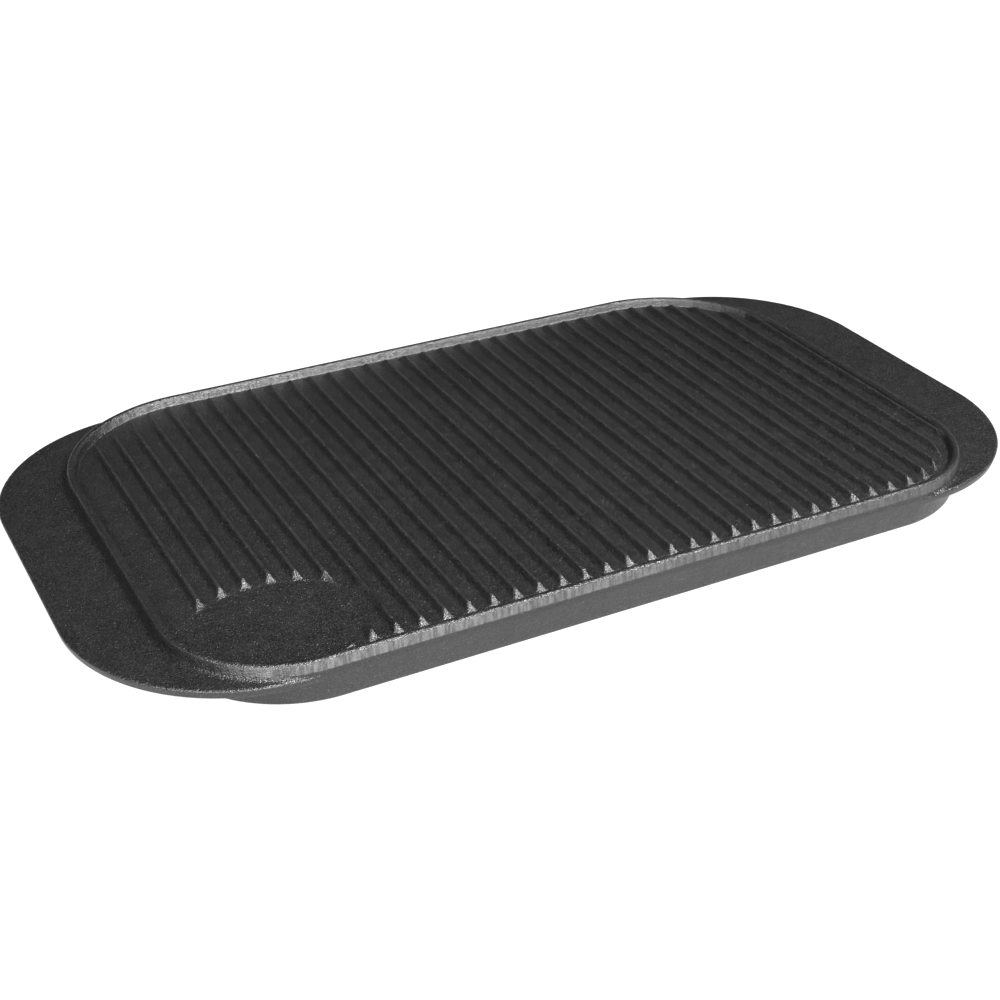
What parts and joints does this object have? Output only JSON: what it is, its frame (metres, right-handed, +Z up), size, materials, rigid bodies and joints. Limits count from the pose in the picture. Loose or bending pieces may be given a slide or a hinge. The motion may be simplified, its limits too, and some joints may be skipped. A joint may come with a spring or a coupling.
{
  "type": "griddle plate",
  "caption": "Oblong cast-iron stove-top griddle plate with a ribbed grilling face in a raised rim, a grease well in one corner and a flat lifting flange at each end.",
  "frame": {"origin": "centre of the plane that the plate rests on, midway along its length and its width", "axes": "+X along the length, from the end with the grease well to the plain end; +Y across, from the grease well's long side to the far long side; +Z up, out of the ribbed face"},
  "size_m": [0.508, 0.272, 0.0235],
  "materials": {
    "cast_iron": "black pre-seasoned sand-cast iron, fine matt grain, slightly glossy on the worn rib tops"
  },
  "bodies": {
    "root": {"griddle_plate": "cast_iron"}
  },
  "joints": []
}
